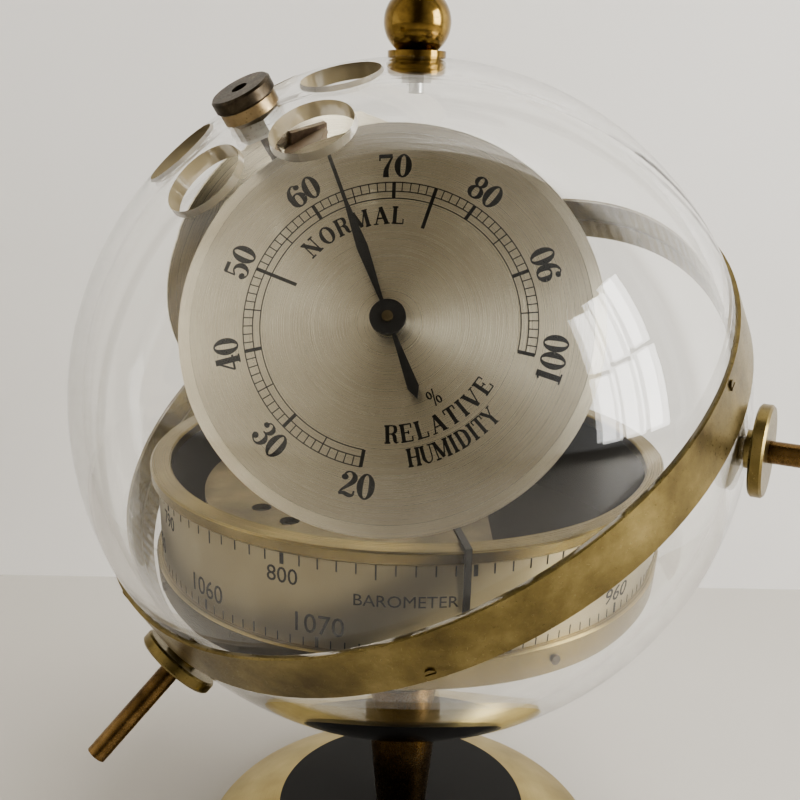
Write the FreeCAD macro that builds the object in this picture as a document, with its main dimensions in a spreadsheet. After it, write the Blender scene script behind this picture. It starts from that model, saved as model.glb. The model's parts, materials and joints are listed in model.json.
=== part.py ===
import math
import os
import re
from types import SimpleNamespace

import FreeCAD
import Part
import Sketcher
from FreeCAD import Placement, Rotation, Vector

# Desk weather globe: a clear sphere in two halves on a brass stand, with a barometer
# drum inside it and two tilted dials hung above the drum.
# Millimetres and degrees. +Z is up, +X right, +Y away from the front. The origin is
# the centre of the base's underside. Heights inside the globe are measured from the
# globe's centre, and heights in the base and stem from the table.

SIZES = {
    # globe
    "globe_height": 113.4,
    "globe_outer": 70.0,
    "globe_inner": 67.0,
    "globe_reach": 90.0,
    "pole_tilt": 32.1,
    "pole_azimuth": -142.06,
    "vent_radius": 7.5,
    "vent_from_pole": 14.5,
    "vent_first": -47.8,
    # ring over the split
    "band_outer": 70.35,
    "band_inner": 68.6,
    "band_half_width": 5.35,
    "band_screw_first": -88.0,
    "band_screw_offset": 3.5,
    "band_screw_radius": 0.6,
    "band_head_radius": 1.0,
    "band_head_seat": 70.1,
    "band_head_height": 0.6,
    "band_screw_start": 67.6,
    "slot_width": 0.35,
    "slot_depth": 0.3,
    # radial rods
    "rod_radius": 2.1,
    "rod_start": 67.3,
    "rod_end": 97.3,
    "rod_latitude": -12.3,
    "rod_first": -25.6,
    "flange_radius": 8.65,
    "flange_start": 71.4,
    "flange_height": 2.5,
    "neck_radius": 3.6,
    "edge_break": 0.4,
    # top ball and its pin
    "ball_radius": 6.6,
    "ball_height": 76.3,
    "collar_radius": 5.75,
    "collar_top": 70.9,
    "pin_radius": 1.5,
    "pin_low": 63.2,
    "pin_high": 74.5,
    "pin_nut_top": 66.9,
    "pin_nut_radius": 3.0,
    "pin_nut_height": 1.8,
    # plug at the pole
    "plug_radius": 5.7,
    "plug_low": 71.9,
    "plug_height": 2.6,
    "plug_dimple_radius": 1.5,
    "plug_dimple_depth": 1.0,
    "plug_collar_radius": 5.3,
    "plug_bolt_radius": 1.2,
    "plug_bolt_end": 52.0,
    "plug_nut_radius": 4.5,
    "plug_nut_top": 66.8,
    "plug_nut_height": 2.4,
    # base
    "base_radius": 47.4,
    "base_low": 0.5,
    "base_top": 12.8,
    "dome_radius": 77.9,
    "dome_centre": -59.4,
    "dome_skin": 1.2,
    "inlay_radius": 29.2,
    "inlay_height": 1.5,
    "felt_height": 1.2,
    "nut_pocket_radius": 7.0,
    "nut_pocket_height": 6.0,
    # stem and rod
    "stem_low_radius": 5.89,
    "stem_high_radius": 8.9,
    "stem_top": 45.6,
    "tie_radius": 2.0,
    "tie_low": 3.0,
    "tie_high": 82.4,
    "nut_radius": 4.2,
    "nut_height": 3.0,
    "post_radius": 7.4,
    # drum
    "drum_low": -35.4,
    "drum_high": -13.0,
    "drum_wall_inner": 52.1,
    "drum_wall_outer": 52.9,
    "floor_thickness": 1.5,
    "scale_low": -30.0,
    "scale_outer": 53.5,
    "rim_outer": 54.9,
    "bezel_inner": 50.7,
    "bezel_height": 2.5,
    "bezel_break": 0.35,
    "rim_screw_height": -32.7,
    "rim_screw_first": -62.0,
    "rim_screw_radius": 0.6,
    "rim_head_radius": 0.9,
    "rim_head_height": 0.5,
    # barometer movement
    "capsule_radius": 15.0,
    "capsule_height": 5.4,
    "capsule_offset": 26.0,
    "capsule_azimuth": -120.0,
    "capsule_step": 0.6,
    "stud_radius": 1.5,
    "stud_top": -26.6,
    "spring_low": -26.2,
    "spring_thickness": 1.0,
    "spring_half_length": 18.0,
    "spring_width": 9.0,
    "plate_low": -19.5,
    "plate_thickness": 1.2,
    "plate_radius": 44.0,
    "plate_right_edge": 16.0,
    "pillar_radius": 2.0,
    "lower_bridge_low": -27.0,
    "lower_bridge_height": 1.0,
    "lower_bridge_width": 7.0,
    "lower_bridge_back": -8.0,
    "lower_bridge_front": 31.0,
    "bridge_pillar_radius": 1.5,
    "bearing_clearance": 0.05,
    "arbor_radius": 1.0,
    "arbor_top": -9.0,
    "gear_height": 1.4,
    "sector_low": -24.2,
    "pinion_low": -24.7,
    "pinion_height": 2.4,
    "pinion_teeth": 10,
    "pinion_pitch_radius": 2.5,
    "gear_ratio": 8,
    "tooth_above": 0.3,
    "tooth_below": 0.45,
    "sector_azimuth": 120.0,
    "sector_swing": 43.75,
    "sector_hub_radius": 3.2,
    "sector_arbor_radius": 0.75,
    # barometer pointer
    "pointer_azimuth": -80.0,
    "pointer_low": -10.1,
    "pointer_thickness": 0.6,
    "pointer_width": 1.2,
    "pointer_reach": 55.9,
    "pointer_tail": 14.0,
    "pointer_drop": -23.4,
    "pointer_drop_thickness": 0.5,
    "pointer_hub_radius": 2.6,
    "pointer_hub_height": 1.5,
    # dials
    "dial_radius": 36.9,
    "dial_thickness": 0.8,
    "dial_bevel_width": 2.0,
    "dial_bevel_depth": 0.35,
    "case_radius": 21.0,
    "case_depth": 8.0,
    "case_skin": 0.8,
    "coil_inner": 3.0,
    "coil_pitch": 2.0,
    "coil_thickness": 0.4,
    "coil_turns": 6,
    "coil_low": -6.4,
    "coil_height": 3.6,
    "needle_arbor_radius": 0.75,
    "needle_arbor_top": 4.1,
    "needle_boss_radius": 0.95,
    "needle_boss_low": 3.6,
    "needle_low": 2.8,
    "needle_thickness": 0.4,
    "needle_hub_radius": 3.1,
    "needle_hub_height": 0.8,
    "needle_length": 31.7,
    "needle_tail": 15.0,
    "needle_thin": 0.32,
    "needle_wide": 1.0,
    # bracket for the dials
    "bracket_low": 54.6,
    "bracket_thickness": 1.2,
    "bracket_hub_radius": 4.8,
    "bracket_width": 9.0,
    "bracket_gap": 0.3,
    "bracket_nut_radius": 3.0,
    "bracket_nut_height": 2.0,
    "leg_low": 21.6,
    "leg_high": 33.5,
    "arm_meets": 31.0,
}

DIALS = {
    # name: (right, back, up) of the face centre, azimuth and elevation it faces, needle angle
    "hygro": (Vector(-4.1, -36.7, 24.2), -95.0, 26.9, -22.7),
    "thermo": (Vector(-24.3, 27.9, 26.0), 131.0, 20.0, 14.0),
}

LEG_TURNS = {"hygro": 36.2, "thermo": -14.9}

PILLAR_PLACES = [(0.0, 38.0), (-38.0, 0.0), (10.0, -14.0)]

size = SimpleNamespace(**SIZES)
doc = FreeCAD.newDocument("WeatherGlobe")
sheet = doc.addObject("Spreadsheet::Sheet", "Sizes")
for row, (word, number) in enumerate(SIZES.items(), start=1):
    sheet.set(f"A{row}", word)
    sheet.set(f"B{row}", str(number))
    sheet.setAlias(f"B{row}", word)
doc.recompute()

nodes = []


# ---- helpers -----------------------------------------------------------------------

def expression(text):
    """Point each size's name in an expression at its cell in the sheet."""
    return re.sub(r"[a-z_]+", lambda word: "Sizes." + word[0] if word[0] in SIZES else word[0], text)


def solid(kind, name, place, **sizes):
    """Add a Part primitive whose sizes are bound to the sheet."""
    piece = doc.addObject("Part::" + kind, name)
    piece.Placement = place
    for prop, text in sizes.items():
        piece.setExpression(prop, expression(text))
    return piece


def disc(name, frame, low, radius, height):
    """Cylinder along the frame's Z, starting at height low."""
    return solid("Cylinder", name, along(frame, low), Radius=radius, Height=height)


def tube(name, frame, low, outer, inner, height):
    """Ring with a plain bore, starting at height low."""
    return cut(name, disc(name + "_outer", frame, low, outer, height),
               disc(name + "_bore", frame, low, inner, height))


def hexagon(name, frame, low, radius, height):
    """Hexagonal nut blank, starting at height low."""
    nut = solid("Prism", name, along(frame, low), Circumradius=radius, Height=height)
    nut.Polygon = 6
    return nut


def fuse(name, *pieces):
    """Join pieces into one."""
    joined = doc.addObject("Part::MultiFuse", name)
    joined.Shapes = list(pieces)
    joined.Refine = True
    return joined


def cut(name, base, *tools):
    """Take one or more tools away from a base."""
    result = doc.addObject("Part::Cut", name)
    result.Base = base
    result.Tool = tools[0] if len(tools) == 1 else fuse(name + "_tools", *tools)
    return result


def common(name, *pieces):
    """Keep what all the pieces share."""
    result = doc.addObject("Part::MultiCommon", name)
    result.Shapes = list(pieces)
    return result


def chamfer(name, base, width):
    """Break every full circular edge of a turned piece."""
    doc.recompute()
    result = doc.addObject("Part::Chamfer", name)
    result.Base = base
    result.Edges = [(number, width, width) for number, edge in enumerate(base.Shape.Edges, start=1)
                    if len(edge.Vertexes) == 1]
    return result


def shape(name, made):
    """Hold a shape that no primitive gives."""
    piece = doc.addObject("Part::Feature", name)
    piece.Shape = made
    return piece


def node(label, piece):
    """Name a finished sub-part after its node."""
    piece.Label = label
    nodes.append(piece)
    return piece


def along(frame, distance):
    """The frame moved along its own Z."""
    return frame.multiply(Placement(Vector(0, 0, distance), Rotation()))


def turned(frame, axis, angle):
    """The frame turned about one of its own axes."""
    return frame.multiply(Placement(Vector(), Rotation(axis, angle)))


# ---- frames ------------------------------------------------------------------------

X_AXIS = Vector(1, 0, 0)
Y_AXIS = Vector(0, 1, 0)
Z_AXIS = Vector(0, 0, 1)

TABLE = Placement()
CENTRE = Placement(Vector(0, 0, size.globe_height), Rotation())


def globe_frame():
    """Frame at the globe's centre with Z through its pole."""
    tilt = math.radians(size.pole_tilt)
    azimuth = math.radians(size.pole_azimuth)
    pole = Vector(math.sin(tilt) * math.cos(azimuth), math.sin(tilt) * math.sin(azimuth),
                  math.cos(tilt))
    side = (X_AXIS - pole * X_AXIS.dot(pole)).normalize()
    return Placement(CENTRE.Base, Rotation(side, pole.cross(side), pole, "ZXY"))


GLOBE = globe_frame()


def radial(latitude, longitude):
    """Frame at the globe's centre whose Z leaves through a latitude and longitude."""
    return turned(turned(GLOBE, Z_AXIS, longitude), Y_AXIS, 90 - latitude)


def equatorial(longitude, offset):
    """Frame above or below the globe's centre whose Z leaves level with its equator."""
    return turned(turned(along(GLOBE, offset), Z_AXIS, longitude), Y_AXIS, 90)


def dial_frame(centre, azimuth, elevation):
    """Frame on a dial's face: Z faces the reader, Y is up and X is right."""
    facing = Vector(math.cos(math.radians(elevation)) * math.cos(math.radians(azimuth)),
                    math.cos(math.radians(elevation)) * math.sin(math.radians(azimuth)),
                    math.sin(math.radians(elevation)))
    right = Z_AXIS.cross(facing).normalize()
    return Placement(CENTRE.Base + centre, Rotation(right, facing.cross(right), facing, "ZXY"))


# ---- base and stand ----------------------------------------------------------------

def make_base():
    """Domed brass shell over a steel weight, with a black disc let in and felt below."""
    dome = Placement(Vector(0, 0, size.dome_centre), Rotation())
    inlay_low = size.base_top - size.inlay_height
    outside = common("base_outside", solid("Sphere", "base_dome", dome, Radius="dome_radius"),
                     disc("base_edge", TABLE, size.base_low, "base_radius", "base_top - base_low"))
    inside = common("base_inside",
                    solid("Sphere", "base_hollow", dome, Radius="dome_radius - dome_skin"),
                    disc("base_hollow_edge", TABLE, 0, "base_radius - dome_skin",
                         "base_top - inlay_height"))
    seat = disc("inlay_seat", TABLE, inlay_low, "inlay_radius", "inlay_height")
    node("base_shell", cut("base_shell_cut", outside, inside, seat))

    node("base_inlay", tube("base_inlay_ring", TABLE, inlay_low, "inlay_radius", "tie_radius",
                            "inlay_height"))

    weight = common("weight_blank",
                    solid("Sphere", "weight_dome", dome, Radius="dome_radius - dome_skin"),
                    disc("weight_edge", TABLE, size.felt_height, "base_radius - dome_skin",
                         "base_top - inlay_height - felt_height"))
    node("base_weight", cut("base_weight_cut", weight,
                            disc("weight_bore", TABLE, 0, "tie_radius", "base_top"),
                            disc("nut_pocket", TABLE, size.felt_height, "nut_pocket_radius",
                                 "nut_pocket_height")))

    node("base_felt", disc("base_felt_disc", TABLE, 0, "base_radius - dome_skin", "felt_height"))


def make_stem():
    """Tapered stem seated against the globe, and the rod and nuts that tie it all together."""
    cone = turned_body("stem_body", TABLE, [
        (None, "base_top"), ("stem_low_radius", "base_top"),
        ("stem_high_radius", "stem_top"), (None, "stem_top")])
    node("stem", cut("stem_cut", cone,
                     solid("Sphere", "stem_seat", GLOBE, Radius="globe_outer"),
                     disc("stem_bore", TABLE, size.base_top, "tie_radius", "stem_top - base_top")))

    rod = disc("tie_blank", TABLE, size.tie_low, "tie_radius", "tie_high - tie_low")
    node("tie_rod", rod)

    pocket_top = size.felt_height + size.nut_pocket_height
    node("base_nut", cut("base_nut_cut",
                         hexagon("base_nut_blank", TABLE, pocket_top - size.nut_height,
                                 "nut_radius", "nut_height"),
                         disc("base_nut_bore", TABLE, 0, "tie_radius", "base_top")))

    floor_top = size.drum_low + size.floor_thickness
    node("drum_nut", cut("drum_nut_cut",
                         hexagon("drum_nut_blank", CENTRE, floor_top, "nut_radius",
                                 "nut_height - floor_thickness"),
                         disc("drum_nut_bore", CENTRE, floor_top, "tie_radius", "nut_height")))

    post = common("post_blank",
                  disc("post_disc", CENTRE, -size.globe_inner, "post_radius",
                       "globe_inner + drum_low"),
                  solid("Sphere", "post_foot", GLOBE, Radius="globe_inner"))
    node("drum_post", cut("drum_post_cut", post,
                          disc("post_bore", CENTRE, -size.globe_inner, "tie_radius",
                               "globe_inner")))


def turned_body(name, frame, outline):
    """Turn a closed outline of radius and height cells about the frame's Z."""
    body = doc.addObject("PartDesign::Body", name)
    sketch = body.newObject("Sketcher::SketchObject", name + "_outline")
    plane = next(item for item in body.Origin.OriginFeatures if item.Role == "XZ_Plane")
    sketch.AttachmentSupport = [(plane, "")]
    sketch.MapMode = "FlatFace"
    corners = [Vector(0 if radius is None else SIZES[radius], SIZES[height], 0)
               for radius, height in outline]
    for start, end in zip(corners, corners[1:] + corners[:1]):
        sketch.addGeometry(Part.LineSegment(start, end), False)
    count = len(corners)
    for index, (radius, height) in enumerate(outline):
        sketch.addConstraint(Sketcher.Constraint("Coincident", (index - 1) % count, 2, index, 1))
        if radius is None:
            sketch.addConstraint(Sketcher.Constraint("PointOnObject", index, 1, -2))
        else:
            bind_corner(sketch, "DistanceX", index, radius)
        bind_corner(sketch, "DistanceY", index, height)
    turn = body.newObject("PartDesign::Revolution", name + "_turn")
    turn.Profile = sketch
    turn.ReferenceAxis = (sketch, ["V_Axis"])
    turn.Angle = 360
    body.Placement = frame
    return body


def bind_corner(sketch, direction, index, cell):
    """Hold one corner of an outline at the distance that a cell gives."""
    number = sketch.addConstraint(
        Sketcher.Constraint(direction, -1, 1, index, 1, float(SIZES[cell])))
    sketch.setExpression(f"Constraints[{number}]", expression(cell))


# ---- globe -------------------------------------------------------------------------

def band_screw_frames():
    """Six ring screws, set below and above the split in turn."""
    for number in range(6):
        offset = size.band_screw_offset * (-1 if number % 2 == 0 else 1)
        yield number, equatorial(size.band_screw_first + 60 * number, offset)


def rod_frames():
    """Three rods, evenly spaced below the ring."""
    for number in range(3):
        yield number, radial(size.rod_latitude, size.rod_first - 120 * number)


def screw_hole(name, frame):
    """Hole of one ring screw's shank."""
    return disc(name, frame, size.band_screw_start, "band_screw_radius",
                "band_head_seat - band_screw_start")


def make_globe():
    """Two clear halves with a rebate for the ring, vents and every hole."""
    for half, side in (("lower", -1), ("upper", 1)):
        shell = cut(half + "_shell", solid("Sphere", half + "_outside", GLOBE, Radius="globe_outer"),
                    solid("Sphere", half + "_inside", GLOBE, Radius="globe_inner"))
        reach_low = -size.globe_reach if side < 0 else 0
        part = common(half + "_part", shell,
                      disc(half + "_space", GLOBE, reach_low, "globe_reach", "globe_reach"))
        tools = [tube(half + "_rebate", GLOBE, -size.band_half_width, "globe_reach", "band_inner",
                      "2 * band_half_width")]
        tools += [screw_hole(f"{half}_screw_hole_{number}", frame)
                  for number, frame in band_screw_frames() if (number % 2 == 0) == (side < 0)]
        if side < 0:
            tools += [disc(f"rod_hole_{number}", frame, size.rod_start - 1, "rod_radius", "globe_inner")
                      for number, frame in rod_frames()]
            tools.append(disc("tie_hole", CENTRE, -size.globe_reach, "tie_radius", "globe_reach"))
        else:
            for number in range(5):
                vent = radial(90 - size.vent_from_pole, size.vent_first + 72 * number)
                tools.append(disc(f"vent_{number}", vent, 0, "vent_radius", "globe_reach"))
            tools.append(disc("plug_hole", GLOBE, 0, "plug_bolt_radius", "globe_reach"))
            tools.append(disc("pin_hole", CENTRE, 0, "pin_radius", "globe_reach"))
        node(half + "_hemisphere", cut(half + "_half", part, *tools))


def make_band():
    """Brass ring over the split, with its six slotted screws."""
    ring = tube("band_blank", GLOBE, -size.band_half_width, "band_outer", "band_inner",
                "2 * band_half_width")
    tools = []
    for number, frame in band_screw_frames():
        tools.append(screw_hole(f"band_hole_{number}", frame))
        tools.append(disc(f"band_seat_{number}", frame, size.band_head_seat, "band_head_radius",
                          "band_head_height"))
        shank = disc(f"band_shank_{number}", frame, size.band_screw_start, "band_screw_radius",
                     "band_head_seat - band_screw_start")
        head = disc(f"band_head_{number}", frame, size.band_head_seat, "band_head_radius",
                    "band_head_height")
        node(f"ring_screw_{number + 1}", cut(f"band_screw_{number}",
                                             fuse(f"band_screw_blank_{number}", shank, head),
                                             slot(f"band_slot_{number}", frame)))
    node("equator_ring", cut("band_cut", ring, *tools))


def slot(name, frame):
    """Screwdriver slot across a ring screw's head."""
    top = size.band_head_seat + size.band_head_height
    corner = Vector(-size.slot_width / 2, -size.band_head_radius * 2, top - size.slot_depth)
    return solid("Box", name, frame.multiply(Placement(corner, Rotation())), Length="slot_width",
                 Width="4 * band_head_radius", Height="2 * slot_depth")


def make_rods():
    """Radial rods, each through a flange that stands off the globe on a neck."""
    for number, frame in rod_frames():
        rod = disc(f"rod_blank_{number}", frame, size.rod_start, "rod_radius", "rod_end - rod_start")
        node(f"rod_{number + 1}", rod)
        plate = chamfer(f"flange_edges_{number}",
                        disc(f"flange_disc_{number}", frame, size.flange_start, "flange_radius",
                             "flange_height"), size.edge_break)
        neck = disc(f"flange_neck_{number}", frame, size.globe_inner, "neck_radius",
                    "flange_start - globe_inner")
        node(f"rod_flange_{number + 1}",
             cut(f"flange_cut_{number}", fuse(f"flange_blank_{number}", plate, neck),
                 solid("Sphere", f"flange_seat_{number}", GLOBE, Radius="globe_outer"),
                 disc(f"flange_bore_{number}", frame, size.globe_inner, "rod_radius", "globe_reach")))


def make_top_ball():
    """Ball on a collar, held to the globe by a pin and a nut."""
    ball_place = along(CENTRE, size.ball_height)
    pin_length = "pin_high - pin_low"
    node("top_ball", cut("ball_cut", solid("Sphere", "ball_blank", ball_place, Radius="ball_radius"),
                         solid("Sphere", "ball_seat", GLOBE, Radius="globe_outer"),
                         disc("ball_bore", CENTRE, size.pin_low, "pin_radius", pin_length)))
    collar = disc("collar_blank", CENTRE, size.globe_inner, "collar_radius",
                  "collar_top - globe_inner")
    node("ball_collar", cut("collar_cut", collar,
                            solid("Sphere", "collar_seat", GLOBE, Radius="globe_outer"),
                            solid("Sphere", "collar_cup", ball_place, Radius="ball_radius"),
                            disc("collar_bore", CENTRE, size.pin_low, "pin_radius", pin_length)))
    node("ball_pin", disc("pin_blank", CENTRE, size.pin_low, "pin_radius", pin_length))
    nut_low = size.pin_nut_top - size.pin_nut_height
    node("ball_nut", cut("pin_nut_cut",
                         hexagon("pin_nut_blank", CENTRE, nut_low, "pin_nut_radius",
                                 "pin_nut_height"),
                         disc("pin_nut_bore", CENTRE, nut_low, "pin_radius", "pin_nut_height")))


def make_plug():
    """Dark bolt at the pole, on a collar and a nut, long enough to carry the dials."""
    cap = chamfer("plug_edges", disc("plug_disc", GLOBE, size.plug_low, "plug_radius", "plug_height"),
                  size.edge_break)
    bolt = disc("plug_bolt", GLOBE, size.plug_bolt_end, "plug_bolt_radius",
                "plug_low - plug_bolt_end")
    dimple_low = size.plug_low + size.plug_height - size.plug_dimple_depth
    node("plug_cap", cut("plug_cut", fuse("plug_blank", cap, bolt),
                         disc("plug_dimple", GLOBE, dimple_low, "plug_dimple_radius",
                              "plug_dimple_depth")))
    collar = tube("plug_collar_ring", GLOBE, size.globe_inner, "plug_collar_radius",
                  "plug_bolt_radius", "plug_low - globe_inner")
    node("plug_collar", cut("plug_collar_cut", collar,
                            solid("Sphere", "plug_collar_seat", GLOBE, Radius="globe_outer")))
    nut_low = size.plug_nut_top - size.plug_nut_height
    node("plug_nut", cut("plug_nut_cut",
                         hexagon("plug_nut_blank", GLOBE, nut_low, "plug_nut_radius",
                                 "plug_nut_height"),
                         disc("plug_nut_bore", GLOBE, nut_low, "plug_bolt_radius",
                              "plug_nut_height")))


# ---- drum --------------------------------------------------------------------------

def make_drum():
    """Floor and wall of the drum, the scale round it, its bezel and its lower rim."""
    holes = []
    screws = []
    for number in range(4):
        turn = turned(along(CENTRE, size.rim_screw_height), Z_AXIS,
                      size.rim_screw_first + 90 * number)
        frame = turned(turn, Y_AXIS, 90)
        holes.append(disc(f"rim_hole_{number}", frame, size.drum_wall_inner, "rim_screw_radius",
                          "rim_outer - drum_wall_inner"))
        shank = disc(f"rim_shank_{number}", frame, size.drum_wall_inner, "rim_screw_radius",
                     "rim_outer - drum_wall_inner")
        head = disc(f"rim_head_{number}", frame, size.rim_outer, "rim_head_radius",
                    "rim_head_height")
        screws += [shank, head]
    hole_set = fuse("rim_holes", *holes)
    node("rim_screws", fuse("rim_screw_set", *screws))

    floor = tube("floor_ring", CENTRE, size.drum_low, "drum_wall_inner", "tie_radius",
                 "floor_thickness")
    node("drum_floor", floor)
    wall = tube("wall_ring", CENTRE, size.drum_low, "drum_wall_outer", "drum_wall_inner",
                "drum_high - drum_low")
    node("drum_wall", cut("wall_cut", wall, hole_set))
    node("scale_strip", tube("scale_ring", CENTRE, size.scale_low, "scale_outer",
                             "drum_wall_outer", "drum_high - scale_low"))
    bezel = tube("bezel_ring", CENTRE, size.drum_high, "rim_outer", "bezel_inner", "bezel_height")
    node("top_bezel", chamfer("bezel_edges", bezel, size.bezel_break))
    rim = tube("rim_ring", CENTRE, size.drum_low, "rim_outer", "drum_wall_outer",
               "scale_low - drum_low")
    node("lower_rim", cut("rim_cut", chamfer("rim_edges", rim, size.bezel_break), hole_set))


# ---- barometer movement ------------------------------------------------------------

def make_capsule():
    """Corrugated pressure capsule and the leaf spring that bridges it."""
    floor_top = size.drum_low + size.floor_thickness
    frame = turned(CENTRE, Z_AXIS, size.capsule_azimuth)
    frame = frame.multiply(Placement(Vector(size.capsule_offset, 0, floor_top), Rotation()))
    foot = disc("capsule_foot", frame, 0, "capsule_radius - 3 * capsule_step",
                "capsule_height")
    body = disc("capsule_body", frame, size.capsule_step, "capsule_radius",
                "capsule_height - 2 * capsule_step")
    grooves = [tube(f"capsule_groove_{ring}", frame, size.capsule_height - size.capsule_step,
                    f"{4 * ring} * capsule_step", f"{4 * ring - 2} * capsule_step", "capsule_step")
               for ring in (2, 3, 4, 5)]
    stud = disc("capsule_stud", frame, 0, "stud_radius", "stud_top - drum_low - floor_thickness")
    node("aneroid_capsule", fuse("capsule_whole",
                                 cut("capsule_cut", fuse("capsule_blank", foot, body), *grooves),
                                 stud))

    leaf_low = size.spring_low - floor_top
    corner = Vector(-size.spring_width / 2, -size.spring_half_length, 0)
    leaf = solid("Box", "spring_leaf", frame.multiply(Placement(corner + Vector(0, 0, leaf_low), Rotation())),
                 Length="spring_width", Width="2 * spring_half_length", Height="spring_thickness")
    legs = []
    for name, start in (("spring_front", -size.spring_half_length),
                        ("spring_back", size.spring_half_length - size.spring_thickness)):
        place = frame.multiply(Placement(Vector(corner.x, start, 0), Rotation()))
        legs.append(solid("Box", name, place, Length="spring_width", Width="spring_thickness",
                          Height="spring_low - drum_low - floor_thickness"))
    node("spring_bridge", fuse("spring_whole", leaf, *legs))


def sector_place():
    """Frame on the sector's pivot, with X pointing back at the drum's axis."""
    reach = size.pinion_pitch_radius * (1 + size.gear_ratio)
    line = turned(CENTRE, Z_AXIS, size.sector_azimuth)
    pivot = line.multiply(Placement(Vector(reach, 0, 0), Rotation()))
    return line, turned(pivot, Z_AXIS, 180)


def make_plates():
    """Movement plate on three pillars, and the lower bridge that carries both pivots."""
    line, pivot = sector_place()
    half = common("plate_blank",
                  disc("plate_disc", CENTRE, size.plate_low, "plate_radius", "plate_thickness"),
                  solid("Box", "plate_limit",
                        CENTRE.multiply(Placement(Vector(-size.plate_radius, -size.plate_radius,
                                                         size.plate_low), Rotation())),
                        Length="plate_radius + plate_right_edge", Width="2 * plate_radius",
                        Height="plate_thickness"))
    tools = [
        disc("plate_arbor_hole", CENTRE, size.plate_low, "arbor_radius + bearing_clearance",
             "plate_thickness"),
        disc("plate_sector_hole", pivot, size.plate_low, "sector_arbor_radius + bearing_clearance",
             "plate_thickness"),
    ]
    for number, (hole_azimuth, hole_distance) in enumerate(((-149.0, 34.6), (-133.6, 33.7))):
        spot = turned(CENTRE, Z_AXIS, hole_azimuth).multiply(
            Placement(Vector(hole_distance, 0, 0), Rotation()))
        tools.append(disc(f"plate_hole_{number}", spot, size.plate_low, "pillar_radius",
                          "plate_thickness"))
    node("movement_plate", cut("plate_cut", half, *tools))

    floor_top = size.drum_low + size.floor_thickness
    for number, (right, back) in enumerate(PILLAR_PLACES, start=1):
        spot = CENTRE.multiply(Placement(Vector(right, back, 0), Rotation()))
        node(f"pillar_{number}", disc(f"pillar_blank_{number}", spot, floor_top, "pillar_radius",
                                      "plate_low - drum_low - floor_thickness"))

    corner = Vector(size.lower_bridge_back, -size.lower_bridge_width / 2, size.lower_bridge_low)
    strip = solid("Box", "bridge_strip", line.multiply(Placement(corner, Rotation())),
                  Length="lower_bridge_front - lower_bridge_back", Width="lower_bridge_width",
                  Height="lower_bridge_height")
    posts = []
    for name, place in (("bridge_post_back", size.lower_bridge_back + size.lower_bridge_width / 3),
                        ("bridge_post_front",
                         size.lower_bridge_front - size.lower_bridge_width / 3)):
        spot = line.multiply(Placement(Vector(place, 0, 0), Rotation()))
        posts.append(disc(name, spot, size.lower_bridge_low, "bridge_pillar_radius",
                          "plate_low - lower_bridge_low"))
    node("lower_bridge", cut("bridge_cut", fuse("bridge_blank", strip, *posts),
                             disc("bridge_arbor_hole", CENTRE, size.lower_bridge_low,
                                  "arbor_radius + bearing_clearance", "lower_bridge_height"),
                             disc("bridge_sector_hole", pivot, size.lower_bridge_low,
                                  "sector_arbor_radius + bearing_clearance",
                                  "lower_bridge_height")))


def teeth(pitch_radius, pitch_angle, first, count):
    """Points of count straight-sided teeth, centred on first and each pitch after it."""
    root = pitch_radius - size.tooth_below
    tip = pitch_radius + size.tooth_above
    points = []
    for number in range(count):
        middle = first + pitch_angle * number
        for share, radius in ((-0.2, root), (-0.11, tip), (0.11, tip), (0.2, root)):
            angle = math.radians(middle + share * pitch_angle)
            points.append(Vector(radius * math.cos(angle), radius * math.sin(angle), 0))
    return points


def extruded(points, height):
    """Flat plate with straight sides through the points."""
    return Part.Face(Part.makePolygon(points + points[:1])).extrude(Vector(0, 0, height))


def make_gears():
    """Sector and pinion in mesh at rest, each with its arbor."""
    line, pivot = sector_place()
    pitch_radius = size.pinion_pitch_radius * size.gear_ratio
    pitch_angle = 360 / (size.pinion_teeth * size.gear_ratio)
    spare = 2
    count = math.ceil(size.sector_swing / pitch_angle) + 2 * spare
    first = pitch_angle * (0.5 + spare) - pitch_angle * count
    fan = extruded([Vector()] + teeth(pitch_radius, pitch_angle, first, count), size.gear_height)
    hub = Part.makeCylinder(size.sector_hub_radius, size.gear_height)
    bore = Part.makeCylinder(size.sector_arbor_radius, size.gear_height)
    sector = shape("sector_shape", fan.fuse(hub).cut(bore))
    sector.Placement = along(pivot, size.sector_low)
    node("sector", sector)
    node("sector_arbor", disc("sector_arbor_blank", pivot, size.lower_bridge_low,
                              "sector_arbor_radius",
                              "plate_low + plate_thickness - lower_bridge_low"))

    wheel = extruded(teeth(size.pinion_pitch_radius, 360 / size.pinion_teeth, 0,
                           size.pinion_teeth), size.pinion_height)
    pinion = shape("pinion_shape", wheel)
    pinion.Placement = along(line, size.pinion_low)
    shaft = disc("arbor_shaft", CENTRE, size.lower_bridge_low, "arbor_radius",
                 "arbor_top - lower_bridge_low")
    node("baro_arbor", fuse("baro_arbor_whole", pinion, shaft))


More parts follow.
